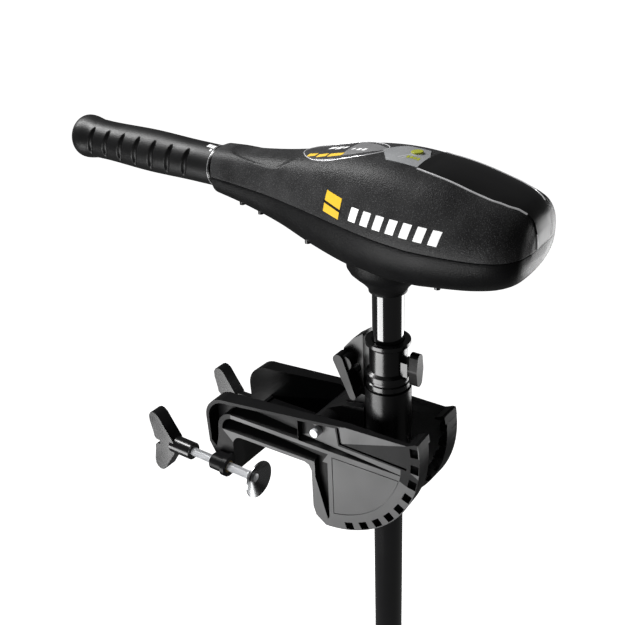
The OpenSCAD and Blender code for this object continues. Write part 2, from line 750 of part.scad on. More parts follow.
bracket();
screw_inserts();
pivot_pin();
pivot_nut();
tilt_hub();
hub_bushings();
tilt_lever();
lever_pin();
lever_spring();
lock_rod();
depth_collar();
collar_screw();
collar_knob();
shaft();
lower_housing();
upper_cover();
top_panel();
meter_lens();
label_plate();
meter_button();
control_board();
heat_sink();
speed_switch();
nose_bush();
head_bolt();
head_screws();
cable_gland();
motor_leads();
tiller_tube();
switch_rotor();
grip_core();
grip_sleeve();
grip_ring();
clamp_screw_near();
clamp_knob_near();
clamp_pad_near();
clamp_screw_far();
clamp_knob_far();
clamp_pad_far();
front_housing();
motor_tube();
rear_housing();
magnets();
brush_plate();
brushes();
brush_springs();
front_bearing();
rear_bearing();
shaft_seal();
through_bolts();
joint_rings();
armature_shaft();
armature_core();
windings();
commutator();
propeller();
drive_pin();
prop_washer();
prop_nut();
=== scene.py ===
import json, math
import bpy, bmesh
from mathutils import Matrix, Vector


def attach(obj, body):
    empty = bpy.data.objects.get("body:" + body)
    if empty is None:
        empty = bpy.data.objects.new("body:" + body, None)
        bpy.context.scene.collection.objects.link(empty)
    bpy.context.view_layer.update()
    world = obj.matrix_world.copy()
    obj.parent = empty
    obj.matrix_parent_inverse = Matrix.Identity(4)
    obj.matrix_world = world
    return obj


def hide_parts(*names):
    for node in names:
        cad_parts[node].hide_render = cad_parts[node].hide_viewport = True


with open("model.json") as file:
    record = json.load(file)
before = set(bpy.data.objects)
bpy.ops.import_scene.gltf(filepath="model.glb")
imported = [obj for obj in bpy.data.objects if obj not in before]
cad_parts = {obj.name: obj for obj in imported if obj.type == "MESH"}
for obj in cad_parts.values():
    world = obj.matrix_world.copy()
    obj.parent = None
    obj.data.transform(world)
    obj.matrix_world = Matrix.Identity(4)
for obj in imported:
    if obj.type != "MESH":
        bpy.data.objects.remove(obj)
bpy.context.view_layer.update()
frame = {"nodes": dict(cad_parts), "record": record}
scene = bpy.context.scene
nodes = frame["nodes"]

# ---------------------------------------------------------------- camera
# Three-quarter view from behind and above on the near side, long enough to flatten the grip a little.
azimuth, height, roll = math.radians(36.349), math.radians(27.076), math.radians(-2.7247)
back = Vector((math.sin(azimuth) * math.cos(height), -math.cos(azimuth) * math.cos(height), math.sin(height)))
level = Vector((math.cos(azimuth), math.sin(azimuth), 0))
lift = back.cross(level)
right = level * math.cos(roll) + lift * math.sin(roll)
upward = lift * math.cos(roll) - level * math.sin(roll)
camera = bpy.data.objects.new("camera", bpy.data.cameras.new("camera"))
scene.collection.objects.link(camera)
turn = Matrix((right, upward, back)).transposed().to_4x4()
camera.matrix_world = Matrix.Translation((0.4010, -0.5723, 0.5066)) @ turn
camera.data.lens, camera.data.sensor_width = 48.32, 36
camera.data.clip_end = 60
scene.camera = camera

# ---------------------------------------------------------------- studio
# Bright white floor and walls that the parts do not mirror, a dim surround and three softboxes: one low on
# the near side, one behind, and a narrow one above the grip.
scene.view_settings.view_transform = "Standard"
scene.view_settings.look = "None"
world = bpy.data.worlds.new("surround")
scene.world = world
world.use_nodes = True
dim_light = world.node_tree.nodes["Background"]
dim_light.inputs["Color"].default_value = (1, 1, 1, 1)
dim_light.inputs["Strength"].default_value = 0.08
mesh = bpy.data.meshes.new("floor")
corners = [(-25, -25), (25, -25), (25, 25), (-25, 25)]
mesh.from_pydata([(x, y, z) for z in (-1.2, 30) for x, y in corners], [],
                 [(0, 1, 2, 3)] + [(k, (k + 1) % 4, (k + 1) % 4 + 4, k + 4) for k in range(4)])
floor = bpy.data.objects.new("floor", mesh)
scene.collection.objects.link(floor)
paper = bpy.data.materials.new("paper_sweep")
paper.use_nodes = True
shader = paper.node_tree.nodes["Principled BSDF"]
shader.inputs["Base Color"].default_value = (0.95, 0.95, 0.95, 1)
shader.inputs["Roughness"].default_value = 0.9
shader.inputs["Emission Color"].default_value = (1, 1, 1, 1)
shader.inputs["Emission Strength"].default_value = 1.0
mesh.materials.append(paper)
floor.visible_glossy = floor.visible_diffuse = floor.visible_shadow = False
for name, place, aim, size, power in (
        ("near_softbox", (-0.46, -1.02, -0.50), (0.02, 0.0, -0.02), (1.05, 0.55), 18),
        ("rear_softbox", (0.44, 1.10, -0.22), (0.05, 0.0, 0.0), (0.7, 0.8), 8),
        ("shoulder_softbox", (-0.76, -0.12, 1.12), (0.06, 0.0, 0.28), (0.30, 0.8), 19)):
    data = bpy.data.lights.new(name, "AREA")
    data.shape, data.size, data.size_y, data.energy = "RECTANGLE", size[0], size[1], power
    lamp = bpy.data.objects.new(name, data)
    scene.collection.objects.link(lamp)
    lamp.location = place
    lamp.rotation_euler = (Vector(aim) - Vector(place)).to_track_quat("-Z", "Y").to_euler()
    lamp.visible_camera = False

# ---------------------------------------------------------------- bracket
# One-piece moulding in glass-filled nylon: two splayed side plates with deep channels, tied by
# the hook's deck and front wall. Every edge has a small moulded radius.


def grain_group():
    # Shared pattern of a moulded or cast skin: fine grain, sparse bright flecks and slow clouding
    tree = bpy.data.node_groups.new("skin_grain", "ShaderNodeTree")
    tree.interface.new_socket("Scale", in_out="INPUT", socket_type="NodeSocketFloat")
    for output in ("Height", "Fleck", "Cloud"):
        tree.interface.new_socket(output, in_out="OUTPUT", socket_type="NodeSocketFloat")
    start, end = tree.nodes.new("NodeGroupInput"), tree.nodes.new("NodeGroupOutput")
    place = tree.nodes.new("ShaderNodeTexCoord")
    fine, fleck, cloud = (tree.nodes.new("ShaderNodeTexNoise") for _ in range(3))
    fine.inputs["Detail"].default_value = 2
    double = tree.nodes.new("ShaderNodeMath")
    double.operation = "MULTIPLY"
    double.inputs[1].default_value = 1.6
    tree.links.new(start.outputs["Scale"], double.inputs[0])
    tree.links.new(start.outputs["Scale"], fine.inputs["Scale"])
    tree.links.new(double.outputs[0], fleck.inputs["Scale"])
    fleck.inputs["Detail"].default_value = 1
    cloud.inputs["Scale"].default_value = 35
    cloud.inputs["Detail"].default_value = 4
    cut = tree.nodes.new("ShaderNodeMapRange")
    cut.inputs["From Min"].default_value, cut.inputs["From Max"].default_value = 0.56, 0.72
    for noise in (fine, fleck, cloud):
        tree.links.new(place.outputs["Object"], noise.inputs["Vector"])
    tree.links.new(fine.outputs["Fac"], end.inputs["Height"])
    tree.links.new(fleck.outputs["Fac"], cut.inputs["Value"])
    tree.links.new(cut.outputs["Result"], end.inputs["Fleck"])
    tree.links.new(cloud.outputs["Fac"], end.inputs["Cloud"])
    return tree


GRAIN = grain_group()


def skin(name, dark, light, rough, scale, bump, fleck=0.0, metal=0.0, coat=0.0, spread=0.12,
         shine=0.5, glow=0.0):
    # Moulded, painted or cast surface: colour from dark to light, roughness clouded by spread
    material = bpy.data.materials.new(name)
    material.use_nodes = True
    tree = material.node_tree
    shader = tree.nodes["Principled BSDF"]
    grain = tree.nodes.new("ShaderNodeGroup")
    grain.node_tree = GRAIN
    grain.inputs["Scale"].default_value = scale
    mask = tree.nodes.new("ShaderNodeMath")
    mask.operation = "MULTIPLY_ADD"
    mask.inputs[1].default_value = fleck
    tree.links.new(grain.outputs["Fleck"], mask.inputs[0])
    cloudy = tree.nodes.new("ShaderNodeMath")
    cloudy.operation = "MULTIPLY"
    cloudy.inputs[1].default_value = 0.5
    tree.links.new(grain.outputs["Cloud"], cloudy.inputs[0])
    tree.links.new(cloudy.outputs[0], mask.inputs[2])
    mix = tree.nodes.new("ShaderNodeMix")
    mix.data_type = "RGBA"
    mix.inputs["A"].default_value = (*dark, 1)
    mix.inputs["B"].default_value = (*light, 1)
    tree.links.new(mask.outputs[0], mix.inputs["Factor"])
    tree.links.new(mix.outputs["Result"], shader.inputs["Base Color"])
    ramp = tree.nodes.new("ShaderNodeMapRange")
    ramp.inputs["From Min"].default_value, ramp.inputs["From Max"].default_value = 0.3, 0.7
    ramp.inputs["To Min"].default_value = rough - spread / 2
    ramp.inputs["To Max"].default_value = rough + spread / 2
    tree.links.new(grain.outputs["Cloud"], ramp.inputs["Value"])
    tree.links.new(ramp.outputs["Result"], shader.inputs["Roughness"])
    relief = tree.nodes.new("ShaderNodeBump")
    relief.inputs["Strength"].default_value = 0.6
    relief.inputs["Distance"].default_value = bump
    tree.links.new(grain.outputs["Height"], relief.inputs["Height"])
    tree.links.new(relief.outputs["Normal"], shader.inputs["Normal"])
    shader.inputs["Metallic"].default_value = metal
    shader.inputs["Coat Weight"].default_value = coat
    shader.inputs["Coat Roughness"].default_value = 0.05
    shader.inputs["Specular IOR Level"].default_value = shine
    # glow makes the surface emit its own colour: a painted glow, not a lamp
    if glow:
        tree.links.new(mix.outputs["Result"], shader.inputs["Emission Color"])
        shader.inputs["Emission Strength"].default_value = glow
    return material


def piece(name, mesh, materials, body, stands_for, crease=35):
    # Registers a finished mesh: smooth where its edges are soft, riding on its CAD body
    for material in materials:
        mesh.materials.append(material)
    made = bpy.data.objects.new(name, mesh)
    scene.collection.objects.link(made)
    mesh.shade_smooth()
    mesh.set_sharp_from_angle(angle=math.radians(crease))
    if "_eased" in mesh.name:
        made.modifiers.new("even_normals", "WEIGHTED_NORMAL").keep_sharp = True
    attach(made, body)
    if stands_for:
        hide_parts(*stands_for)
    return made


def eased(node, width, limit=28, segments=2):
    # Copy of a CAD node's mesh with its triangles merged and its edges rounded
    bm = bmesh.new()
    bm.from_mesh(nodes[node].data)
    bmesh.ops.remove_doubles(bm, verts=bm.verts, dist=2e-5)
    bmesh.ops.dissolve_limit(bm, angle_limit=math.radians(0.6), verts=bm.verts, edges=bm.edges)
    edges = [e for e in bm.edges if len(e.link_faces) == 2 and e.calc_face_angle(0) > math.radians(limit)]
    bmesh.ops.bevel(bm, geom=edges, offset=width, segments=segments, profile=0.6, affect="EDGES",
                    clamp_overlap=True, harden_normals=False)
    bmesh.ops.recalc_face_normals(bm, faces=bm.faces)
    mesh = bpy.data.meshes.new(node + "_eased")
    bm.to_mesh(mesh)
    bm.free()
    return mesh


def rounded(name, node, width, material, body, crease=35, segments=2):
    # One CAD node shown in its own shape, with its edges rounded
    return piece(name, eased(node, width, segments=segments), [material], body, [node], crease)


nylon = skin("black_nylon", (0.006, 0.006, 0.0062), (0.018, 0.018, 0.019), 0.34, 700, 0.00008, shine=0.08)
# Lighter copy of the same black nylon for the flat outer faces of the side plates: painted light from the near
# softbox, not a second finish
plate_painted_lit = skin("plate_sides_painted_light", (0.050, 0.050, 0.051), (0.085, 0.085, 0.087), 0.46, 700, 0.00008)
mesh = eased("bracket", 0.0006)
# Faces turned square to the sides, out on the plates, take the lighter copy: painted light
for face in mesh.polygons:
    face.material_index = int(abs(face.normal.y) > 0.9 and abs(face.center.y) > 0.03 and face.center.x > 0.012)
piece("bracket_moulding", mesh, [nylon, plate_painted_lit], "bracket", ["bracket"])

# ---------------------------------------------------------------- bracket hardware
# Brass inserts moulded into the bosses, a bright steel pivot pin and its plain nut.
steel = skin("turned_steel", (0.70, 0.71, 0.73), (0.90, 0.91, 0.93), 0.34, 900, 0.00003, metal=0.3, spread=0.1)
brass = skin("machined_brass", (0.16, 0.12, 0.05), (0.24, 0.18, 0.08), 0.4, 900, 0.00005, metal=1.0)
rounded("boss_inserts", "screw_inserts", 0.0003, brass, "bracket")
rounded("pivot_pin_turned", "pivot_pin", 0.0007, steel, "bracket")
rounded("pivot_nut_hex", "pivot_nut", 0.0004, steel, "bracket")

# ---------------------------------------------------------------- clamps
# M10-size steel screws with a rolled thread, dished plated pads and moulded wing knobs.
pad_plate = skin("bright_plate", (0.28, 0.285, 0.29), (0.40, 0.405, 0.41), 0.26, 600, 0.00001,
                 metal=0.9, spread=0.08)
gloss = skin("gloss_black_moulding", (0.004, 0.004, 0.0042), (0.010, 0.010, 0.0105), 0.22, 500, 0.00001)


def threaded(x0, x1, radius, depth, pitch, y, z, around=24):
    # Rolled thread along x: a true helix of crests and roots
    turns = int((x1 - x0) / pitch)
    rows = turns * 4
    verts, faces = [], []
    for k in range(rows + 1):
        for j in range(around):
            along = k / 4 + j / around
            wave = abs((along % 1) * 2 - 1)
            r = radius - depth * wave * min(1, k / 4, (rows - k) / 4)
            x = x0 + (x1 - x0) * k / rows
            a = 2 * math.pi * j / around
            verts.append((x, y + r * math.cos(a), z + r * math.sin(a)))
    for k in range(rows):
        for j in range(around):
            a, b = k * around + j, k * around + (j + 1) % around
            faces.append((a, b, b + around, a + around))
    faces.append(tuple(range(around))[::-1])
    faces.append(tuple(rows * around + j for j in range(around)))
    return verts, faces


SCREW_SPREAD, SCREW_HEIGHT = 0.054, -0.035
THREAD_RADIUS, THREAD_DEPTH, THREAD_PITCH = 0.0049, 0.0009, 0.0015875
for side, where in (("near", -SCREW_SPREAD), ("far", SCREW_SPREAD)):
    verts, faces = threaded(-0.150, -0.070, THREAD_RADIUS, THREAD_DEPTH, THREAD_PITCH, where, SCREW_HEIGHT)
    # reduced tip and the riveted head that holds the pad
    for x0, x1, r in ((-0.0702, -0.0640, 0.0030), (-0.0643, -0.0623, 0.0046)):
        ring = [(x, where + r * q * math.cos(a), SCREW_HEIGHT + r * q * math.sin(a))
                for x, q in ((x0, 0.8), (x0 + 0.0004, 1), (x1 - 0.0004, 1), (x1, 0.8))
                for a in (2 * math.pi * j / 24 for j in range(24))]
        base = len(verts)
        verts += ring
        faces += [(base + k * 24 + j, base + k * 24 + (j + 1) % 24, base + (k + 1) * 24 + (j + 1) % 24,
                   base + (k + 1) * 24 + j) for k in range(3) for j in range(24)]
        faces += [tuple(base + j for j in range(24))[::-1], tuple(base + 72 + j for j in range(24))]
    mesh = bpy.data.meshes.new("clamp_thread_" + side)
    mesh.from_pydata(verts, [], faces)
    piece("clamp_thread_" + side, mesh, [steel], "screw_" + side, ["clamp_screw_" + side], crease=60)
    rounded("wing_knob_" + side, "clamp_knob_" + side, 0.0022, gloss, "screw_" + side,
            crease=50, segments=3)
    rounded("dished_pad_" + side, "clamp_pad_" + side, 0.0003, pad_plate, "pad_" + side,
            crease=50)

# ---------------------------------------------------------------- tilt hub
# Moulded hub that carries the shaft and swings on the pivot, with acetal bushings, a squeeze
# lever on its lug and a steel lock rod behind it.
hub_black = skin("hub_nylon", (0.005, 0.005, 0.0052), (0.014, 0.014, 0.0145), 0.30, 800, 0.00006, shine=0.3)
acetal = skin("acetal", (0.6, 0.59, 0.55), (0.75, 0.74, 0.7), 0.45, 400, 0.00005)
rounded("tilt_hub_moulding", "tilt_hub", 0.0012, hub_black, "tilt_hub", segments=3)
rounded("shaft_bushings", "hub_bushings", 0.0004, acetal, "tilt_hub")
rounded("lever_pivot", "lever_pin", 0.0004, steel, "tilt_hub")
lever_black = skin("lever_black", (0.004, 0.004, 0.0042), (0.010, 0.010, 0.0105), 0.3, 500, 0.00002, shine=0.15)
rounded("squeeze_lever", "tilt_lever", 0.0033, lever_black, "tilt_lever", segments=4)
rounded("lock_rod_steel", "lock_rod", 0.0005, steel, "lock_rod")

# ---------------------------------------------------------------- depth collar
# Split moulded collar that grips the shaft above the hub, with its clamp screw and wing.
rounded("depth_collar_moulding", "depth_collar", 0.0007, gloss, "depth_collar")
rounded("collar_screw_steel", "collar_screw", 0.0004, steel, "collar_knob")
rounded("collar_wing", "collar_knob", 0.0012, lever_black, "collar_knob", segments=3)

# ---------------------------------------------------------------- shaft
# Pultruded composite tube with a gloss black coat.
coat_black = skin("gloss_coated_tube", (0.004, 0.004, 0.0045), (0.010, 0.010, 0.011), 0.14, 300, 0.000005,
                  coat=1.0, spread=0.04)
rounded("coated_shaft", "shaft", 0.0004, coat_black, "motor_unit")

# ---------------------------------------------------------------- head covers
# Two deep moulded shells that meet at a thin seam, spark-textured outside, with a shallow
# thumb scoop on the nose. Sections are rounded squares that swell towards the rear.
# Each row is the place along the head, half width, height above the seam and depth below it, in mm.
NOSE, TAIL = -112, 197
CROWN, BELLY = 2.65, 2.35
SECTIONS = [(NOSE, 23, 25, 20), (-80, 24.5, 28.5, 24.5), (-40, 28.5, 35, 32.5), (0, 36.5, 44, 43),
            (40, 45.5, 54, 49), (80, 53, 58, 48), (120, 55, 55, 43), (160, 52, 45, 37),
            (184, 46.5, 35, 30), (194, 36, 25, 20), (TAIL, 24, 15, 10)]


def seam(x):
    # Height of the joint line between the two covers
    return 254 + 0.07 * max(0, 110 - x) + 0.0015 * max(0, x - 150) ** 2


def section(x, column):
    # Smooth curve through one column of the sections
    i = 0
    while i < len(SECTIONS) - 2 and x > SECTIONS[i + 1][0]:
        i += 1

    def slope(k):
        a, b = max(k - 1, 0), min(k + 1, len(SECTIONS) - 1)
        return (SECTIONS[b][column] - SECTIONS[a][column]) / (SECTIONS[b][0] - SECTIONS[a][0])

    step = SECTIONS[i + 1][0] - SECTIONS[i][0]
    t = (x - SECTIONS[i][0]) / step
    s = t * t * (3 - 2 * t)
    return (SECTIONS[i][column] * (1 - s) + SECTIONS[i + 1][column] * s
            + step * (slope(i) * t * (1 - t) ** 2 - slope(i + 1) * t * t * (1 - t)))


def scoop(x, y):
    # Depth of the thumb scoop on the nose
    reach = 14 + 10 * max(0, min(1, (x + 96) / 60))
    d = ((x + 56) / 41) ** 4 + (y / reach) ** 4
    return 1.5 * max(0, min(1, (1.15 - d) / 0.4))


def closed(name, verts, faces):
    # Mesh from plain lists, with every face turned outwards
    mesh = bpy.data.meshes.new(name)
    mesh.from_pydata(verts, [], faces)
    bm = bmesh.new()
    bm.from_mesh(mesh)
    bmesh.ops.recalc_face_normals(bm, faces=bm.faces)
    bm.to_mesh(mesh)
    bm.free()
    return mesh


def cover_mesh(name, up, around=72):
    # One shell: rings from nose to tail, a rounded end and a lip turned in along the seam
    power = CROWN if up > 0 else BELLY
    column = 2 if up > 0 else 3
    rings = [(x, 1.0) for x in [NOSE + 2 * k for k in range(148)] + [184.5 + 1.25 * k for k in range(11)]]
    rings += [(TAIL + 1.3 * math.sqrt(1 - q * q), q) for q in (0.93, 0.8, 0.6, 0.35, 0.1)]
    verts, faces = [], []
    for x, q in [(NOSE, -1.0)] + rings:
        w, h = section(min(x, TAIL), 1) * abs(q), section(min(x, TAIL), column) * abs(q)
        if q < 0:
            w, h = w - 3, h - 3
        row = [(-(w - 3 * abs(q)), 0.15), (-(w - 0.7 * abs(q)), 0.15), (-(w - 0.2 * abs(q)), 0.32)]
        first = math.asin(min(1, 0.9 / h) ** (power / 2))
        for k in range(around + 1):
            a = first + (math.pi - 2 * first) * k / around
            y = -w * math.copysign(abs(math.cos(a)) ** (2 / power), math.cos(a))
            z = 0.15 + h * math.sin(a) ** (2 / power)
            if up > 0 and q == 1:
                z -= scoop(x, y)
            row.append((y, z))
        row += [(-y, z) for y, z in row[2::-1]]
        verts += [(x / 1000, y / 1000, (seam(min(x, TAIL)) + up * z) / 1000) for y, z in row]
    n = around + 7
    for i in range(len(rings)):
        for k in range(n - 1):
            a = i * n + k
            faces.append((a, a + 1, a + n + 1, a + n) if up > 0 else (a, a + n, a + n + 1, a + 1))
    last = len(rings) * n
    cap = tuple(range(last, last + n))
    faces.append(cap if up > 0 else cap[::-1])
    return closed(name, verts, faces)


spark = skin("spark_texture", (0.004, 0.004, 0.0042), (0.115, 0.115, 0.117), 0.36, 900, 0.0005,
             fleck=0.6, shine=0.10)
# Darker copy of the same spark texture, with fewer and dimmer flecks, for the lower shell: painted shade under
# the head
spark_painted_shade = skin("spark_texture_painted_shade", (0.004, 0.004, 0.0042), (0.022, 0.022, 0.023), 0.36, 900, 0.0004,
                 fleck=0.3, shine=0.1)
piece("upper_cover_shell", cover_mesh("upper_cover_shell", 1), [spark], "motor_unit", ["upper_cover"],
      40)
lower = cover_mesh("lower_cover_shell", -1)
bm = bmesh.new()
bm.from_mesh(lower)
# Funnel neck round the shaft under the shell, with a small bead at its mouth: radius and height in mm
SHAFT_X = 63
NECK = [(14.6, 187.2), (16.4, 187), (17.2, 187.6), (17.4, 190), (19.5, 193.5), (24, 198.5), (29, 203),
        (33.5, 207.5), (36, 212), (37, 222)]
rim = None
for r, z in NECK:
    turns = [2 * math.pi * j / 64 for j in range(64)]
    ring = [bm.verts.new(((SHAFT_X + r * math.cos(a)) / 1000, r * math.sin(a) / 1000, z / 1000)) for a in turns]
    if rim:
        for j in range(64):
            bm.faces.new((rim[j], rim[(j + 1) % 64], ring[(j + 1) % 64], ring[j]))
    rim = ring
bm.to_mesh(lower)
bm.free()
piece("lower_cover_shell", lower, [spark_painted_shade], "motor_unit", ["lower_housing"], 40)


def on_top(u, y, out):
    # Point on the crown of the upper cover; past the tail the same path runs down the rear face
    x = min(u, TAIL)
    w, h = section(x, 1), section(x, 2)
    c = min(0.985, abs(y) / w)
    z = 0.15 + h * (1 - c ** CROWN) ** (1 / CROWN)
    if u > TAIL:
        q = max(0.05, 1 - (u - TAIL) / z)
        return ((TAIL + 1.3 * math.sqrt(max(0, 1 - q * q)) + out) / 1000, y / 1000,
                (seam(TAIL) + z * q + out * 0.2) / 1000)
    steep = (section(min(x + 1, TAIL), 2) - section(max(x - 1, NOSE), 2)) / 2
    steep += 0 if x < 150 else 0.003 * (x - 150)
    return ((x - out * steep * 0.6) / 1000, y / 1000, (seam(x) + z + out) / 1000)


def on_side(x, z, out):
    # Point on the near flank of the upper cover at height z
    w, h = section(x, 1), section(x, 2)
    s = max(0.0, min(0.999, (z - seam(x) - 0.15) / h))
    return (x / 1000, -(w * (1 - s ** CROWN) ** (1 / CROWN) + out) / 1000, z / 1000)


def patch(name, place, outline, rows, columns, raised, sunk=-0.3):
    # Thin sheet laid on the cover: outline(s) gives its two edges at s from 0 to 1, and its rim is tucked in
    verts, faces = [], []
    for i in range(-1, rows + 2):
        s = max(0, min(rows, i)) / rows
        (a0, b0), (a1, b1) = outline(s)
        for j in range(-1, columns + 2):
            t = max(0, min(columns, j)) / columns
            edge = i in (-1, rows + 1) or j in (-1, columns + 1)
            verts.append(place(a0 + (a1 - a0) * t, b0 + (b1 - b0) * t, sunk if edge else raised))
    n = columns + 3
    for i in range(rows + 2):
        for j in range(columns + 2):
            a = i * n + j
            faces.append((a, a + 1, a + n + 1, a + n))
    mesh = bpy.data.meshes.new(name)
    mesh.from_pydata(verts, [], faces)
    bm = bmesh.new()
    bm.from_mesh(mesh)
    head_middle = Vector((0.05, 0, 0.25))
    bm.faces.ensure_lookup_table()
    probe = bm.faces[len(bm.faces) // 2]
    bm.normal_update()
    if probe.normal.dot(probe.calc_center_median() - head_middle) < 0:
        bmesh.ops.reverse_faces(bm, faces=bm.faces)
    bm.to_mesh(mesh)
    bm.free()
    return mesh


def bead(name, points, radius, sides=10):
    # Thin round trim along a line of points, in mm
    verts, faces = [], []
    for i, p in enumerate(points):
        a, b = Vector(points[max(i - 1, 0)]), Vector(points[min(i + 1, len(points) - 1)])
        along = (b - a).normalized()
        across = along.cross(Vector((0, 0, 1))).normalized()
        rise = across.cross(along)
        for k in range(sides):
            t = 2 * math.pi * k / sides
            verts.append(Vector(p) + (across * math.cos(t) + rise * math.sin(t)) * radius / 1000)
    for i in range(len(points) - 1):
        for k in range(sides):
            a, b = i * sides + k, i * sides + (k + 1) % sides
            faces.append((a, a + sides, b + sides, b))
    faces += [tuple(range(sides)), tuple((len(points) - 1) * sides + k for k in range(sides))[::-1]]
    return closed(name, [tuple(v) for v in verts], faces)


# ---------------------------------------------------------------- top panel and its trim
# Smooth satin insert let into the rear of the cover and folded down its end, with a silver
# line along each side, given a painted glow.
panel_black = skin("panel_satin", (0.008, 0.008, 0.0082), (0.018, 0.018, 0.019), 0.34, 400, 0.00001, shine=0.3)
# The silver also glows a little: a painted highlight on the trim lines, label rim, window stripes and grip ring
# line
silver = skin("silver_trim", (0.62, 0.62, 0.63), (0.8, 0.8, 0.81), 0.25, 500, 0.00002, metal=0.4, glow=0.25)
EDGE = [(103, 24), (125, 25.5), (150, 26.5), (165, 26), (177, 23.5), (187, 19), (192, 16), (197, 13.5), (211, 13)]


def edge_at(u):
    # Half width of the panel at distance u along the crown
    for (a, p), (b, q) in zip(EDGE, EDGE[1:]):
        if u <= b:
            t = (u - a) / (b - a)
            return p + (q - p) * t * t * (3 - 2 * t) * 0.5 + (q - p) * t * 0.5
    return EDGE[-1][1]


def panel_edges(s):
    u = 103 + 107 * s
    return (u, -edge_at(u)), (u, edge_at(u))


piece("rear_panel", patch("rear_panel", on_top, panel_edges, 72, 30, 0.45), [panel_black], "motor_unit",
      ["top_panel"], 60)
for side, which in ((-1, "near"), (1, "far")):
    for stem, first, step, count, out, radius in (("panel_line_", 103, 1.5, 59, 0.25, 0.75),
                                                  ("panel_end_line_", 198, 0.8, 16, 0.2, 0.4)):
        line = [on_top(u, side * edge_at(u), out) for u in [first + step * k for k in range(count)]]
        piece(stem + which, bead(stem + which, line, radius), [silver], "motor_unit", [])

# ---------------------------------------------------------------- meter window
# Clear lens over a pale grey print, cut round the label in front and tapered behind, with a
# small row of charge marks and a press button.
meter = skin("meter_print", (0.33, 0.34, 0.35), (0.62, 0.63, 0.64), 0.18, 260, 0.00002, fleck=0.2, coat=0.6)
marks = skin("meter_marks", (0.42, 0.45, 0.04), (0.62, 0.66, 0.1), 0.3, 500, 0.00002)


def window(s):
    # Front edge curved round the label, rear edge tapered
    y = -23 + 35 * s
    front = 62 + 0.75 * abs(y + 6)
    rear = 102.4 - 0.45 * max(0, y + 2)
    return (front, y), (rear, y)


piece("meter_window", patch("meter_window", on_top, window, 30, 14, 0.5), [meter], "motor_unit",
      ["meter_lens"], 60)
for k in range(4):
    x = 88.5 + 2.9 * k
    mesh = patch("charge_mark", on_top, lambda s: ((x - 1.1, -14 + 4.5 * s), (x + 1.1, -14 + 4.5 * s)),
                 2, 2, 0.62, 0.4)
    piece("charge_mark_%d" % (k + 1), mesh, [marks], "motor_unit", [], 60)
for k in range(2):
    x = 81 + 4 * k
    mesh = patch("window_stripe", on_top, lambda s: ((x + 10 * s, -16 + 14 * s), (x + 1 + 10 * s, -16 + 14 * s)),
                 6, 2, 0.6, 0.4)
    piece("window_stripe_%d" % (k + 1), mesh, [silver], "motor_unit", [], 60)
rounded("press_button", "meter_button", 0.0006, marks, "meter_button", crease=50, segments=3)

# ---------------------------------------------------------------- label
# Oval printed label with a silver rim, dark, with a painted sheen laid on its rear half, carrying only plain
# bars and dots. The rim and the white and yellow print carry a painted glow.
label = skin("label_film", (0.020, 0.020, 0.021), (0.14, 0.14, 0.145), 0.3, 420, 0.00003, fleck=0.5)
# Pale grey for the two plain print bars and for the painted sheen on the label
pale = skin("label_pale", (0.20, 0.20, 0.205), (0.42, 0.42, 0.425), 0.3, 420, 0.00003, fleck=0.4)
# White and yellow print glow a little: painted brightness on the ink
white = skin("white_print", (0.85, 0.85, 0.85), (0.95, 0.95, 0.95), 0.5, 300, 0.00001, glow=0.45)
yellow = skin("yellow_print", (0.80, 0.50, 0.02), (0.90, 0.60, 0.04), 0.5, 300, 0.00001, glow=0.25)


# Middle of the oval and its half axes, in mm
LABEL_X, LABEL_Y, LABEL_LONG, LABEL_WIDE = 26.5, -6, 40.5, 19.5


def oval(s):
    x = LABEL_X - LABEL_LONG * math.cos(math.pi * s)
    y = LABEL_WIDE * max(0.03, math.sin(math.pi * s))
    return (x, LABEL_Y - y), (x, LABEL_Y + y)


def sheen(s):
    # The paler rear of the label: a painted sheen, not print
    half = 15 * math.cos(s * 1.35)
    return (32 + 32 * s, LABEL_Y - half), (32 + 32 * s, LABEL_Y + half)


piece("label_oval", patch("label_oval", on_top, oval, 48, 20, 0.4), [label], "motor_unit", ["label_plate"],
      60)
ring = [on_top(LABEL_X - LABEL_LONG * math.cos(a), LABEL_Y + LABEL_WIDE * math.sin(a), 0.45)
        for a in (2 * math.pi * k / 96 for k in range(97))]
piece("label_rim", bead("label_rim", ring, 0.42), [silver], "motor_unit", [])
piece("label_sheen", patch("label_sheen", on_top, sheen, 14, 14, 0.5, 0.3), [pale], "motor_unit", [],
      60)
for k, (x0, x1, y0, y1, ink) in enumerate((
        (-1, 8, -18, -14.5, yellow), (10, 20, -20, -16.5, yellow), (22, 36, -21, -17.5, yellow),
        (14, 20, -7, -2, white), (22, 27, -9, -3, white), (29, 32, -8, -4, white),
        (40, 42, -12, -9, white), (45, 48, -13, -9, white), (50, 53, -13, -9, white),
        (2, 30, 2, 3, pale), (6, 30, 7, 8, pale))):
    mesh = patch("label_bar", on_top, lambda s: ((x0 - 4.5 + 1.5 * s, y0 + (y1 - y0) * s),
                                                 (x1 - 4.5 + 1.5 * s, y0 + (y1 - y0) * s)), 3, 5, 0.58, 0.4)
    piece("label_bar_%d" % (k + 1), mesh, [ink], "motor_unit", [], 60)

